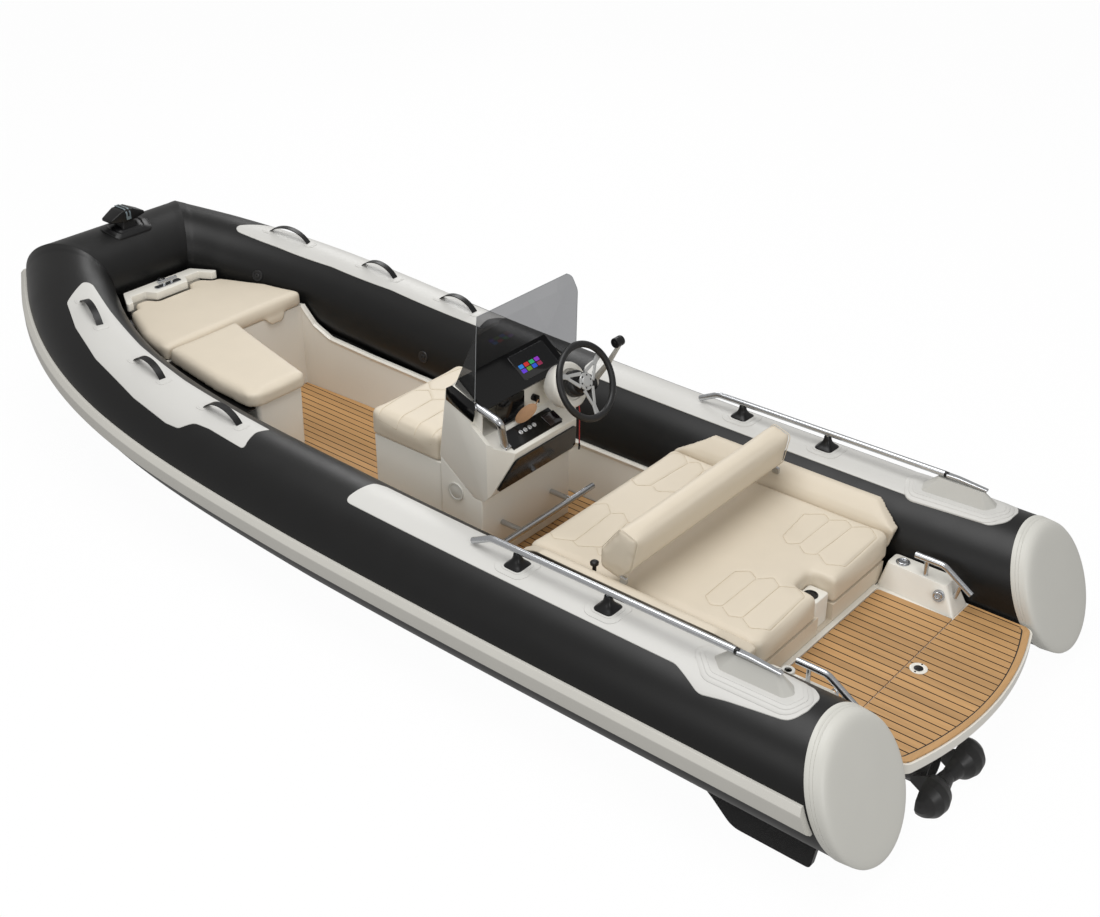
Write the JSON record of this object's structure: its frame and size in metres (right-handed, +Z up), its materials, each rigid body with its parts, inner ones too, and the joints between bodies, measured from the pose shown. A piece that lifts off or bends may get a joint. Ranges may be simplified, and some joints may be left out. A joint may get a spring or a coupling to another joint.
{
  "type": "rigid inflatable boat",
  "caption": "Open jet-drive rigid inflatable tender: deep-V hull with two buoyancy tubes, centre helm with wheel and screen, padded seats and a planked stern platform.",
  "frame": {"origin": "on the centreline at the waterline, level with the stern ends of the tubes", "axes": "+X forward along the keel, +Y to port, +Z up"},
  "size_m": [5.1289, 2.018, 1.55],
  "materials": {
    "black_fabric": "matt black coated tube fabric",
    "pale_rubber": "satin pale grey rubber and patches",
    "hull_black": "gloss black laminate",
    "gelcoat": "gloss off-white gelcoat",
    "teak": "oiled teak planking with dark caulking",
    "cream_vinyl": "cream upholstery vinyl",
    "polished_steel": "polished stainless steel",
    "black_plastic": "satin black plastic",
    "grey_plastic": "satin grey plastic",
    "dark_gloss": "dark gloss panel",
    "smoked_glass": "grey tinted acrylic",
    "red_cord": "red lanyard",
    "tan_leather": "brown leather tag",
    "anodised": "satin alloy",
    "cast_metal": "cast engine block"
  },
  "bodies": {
    "boat": {"bow_cleat": "polished_steel", "bow_moulding": "gelcoat", "bow_roller": "black_plastic", "cockpit_teak": "teak", "console": "gelcoat", "console_base": "gelcoat", "console_grab_bar": "polished_steel", "dash_screen": "dark_gloss", "deck_fittings": "polished_steel", "end_caps": "pale_rubber", "engine": "cast_metal", "fairlead_housings": "pale_rubber", "foot_rail": "polished_steel", "front_seat_box": "gelcoat", "grab_rails": "polished_steel", "handle_straps": "black_plastic", "helm_switches": "black_plastic", "hull": "hull_black", "jet_housing": "black_plastic", "key_tag": "tan_leather", "kill_clip": "black_plastic", "kill_cord": "red_cord", "ladder_plate": "grey_plastic", "liner_sole": "gelcoat", "liner_walls": "gelcoat", "patches_aft": "pale_rubber", "patches_forward": "pale_rubber", "platform": "gelcoat", "platform_teak": "teak", "rail_boots": "black_plastic", "seat_base": "gelcoat", "side_box": "gelcoat", "side_cushion": "cream_vinyl", "speakers": "black_plastic", "stern_fins": "hull_black", "stern_handles": "polished_steel", "stern_mouldings": "gelcoat", "strake_bow": "pale_rubber", "strakes": "pale_rubber", "switch_panel": "dark_gloss", "throttle_box": "black_plastic", "tow_post": "black_plastic", "tube_bow": "black_fabric", "tube_port": "black_fabric", "tube_starboard": "black_fabric", "tube_valves": "grey_plastic", "wheel_cowl": "gelcoat", "windscreen": "smoked_glass"},
    "steering_wheel_assembly": {"steering_wheel": "black_plastic"},
    "nozzle": {"steering_nozzle": "black_plastic"},
    "bucket": {"reverse_bucket": "black_plastic"},
    "throttle": {"throttle_lever": "anodised"},
    "glovebox_lid": {"glovebox_door": "dark_gloss"},
    "front_seat": {"front_seat_cushion": "cream_vinyl"},
    "bow_lid": {"bow_lid_cushion": "cream_vinyl"},
    "rear_seat": {"aft_seat_cushion": "cream_vinyl", "seat_coamings": "cream_vinyl"},
    "back": {"backrest": "cream_vinyl", "backrest_arms": "polished_steel"}
  },
  "joints": [
    {"name": "steering", "type": "hinge", "parent": "boat", "child": "steering_wheel_assembly", "pos_m": [1.843, -0.134, 0.818], "axis": [-0.8934, 0, 0.4493], "range_deg": [-270, 270]},
    {"name": "nozzle_swing", "type": "hinge", "parent": "boat", "child": "nozzle", "pos_m": [0.158, 0, -0.172], "axis": [0, 0, 1], "range_deg": [-22, 22]},
    {"name": "bucket_swing", "type": "hinge", "parent": "nozzle", "child": "bucket", "pos_m": [0.096, 0, -0.172], "axis": [0, 1, 0], "range_deg": [-12, 40]},
    {"name": "throttle_swing", "type": "hinge", "parent": "boat", "child": "throttle", "pos_m": [1.972, -0.3316, 0.694], "axis": [0, 1, 0], "range_deg": [-40, 40]},
    {"name": "glovebox_hinge", "type": "hinge", "parent": "boat", "child": "glovebox_lid", "pos_m": [2.01, 0, 0.398], "axis": [0, 1, 0], "range_deg": [-80, 0]},
    {"name": "front_seat_hinge", "type": "hinge", "parent": "boat", "child": "front_seat", "pos_m": [2.706, 0, 0.449], "axis": [0, 1, 0], "range_deg": [0, 75]},
    {"name": "bow_lid_hinge", "type": "hinge", "parent": "boat", "child": "bow_lid", "pos_m": [4.466, 0, 0.545], "axis": [0, 1, 0], "range_deg": [0, 75]},
    {"name": "rear_seat_hinge", "type": "hinge", "parent": "boat", "child": "rear_seat", "pos_m": [1.641, 0, 0.321], "axis": [0, 1, 0], "range_deg": [0, 33]},
    {"name": "backrest_hinge", "type": "hinge", "parent": "rear_seat", "child": "back", "pos_m": [1.15, 0, 0.492], "axis": [0, 1, 0], "range_deg": [-25, 15]}
  ],
  "couplings": [
    {"joint": "nozzle_swing", "follows": "steering", "ratio": 0.0814}
  ]
}
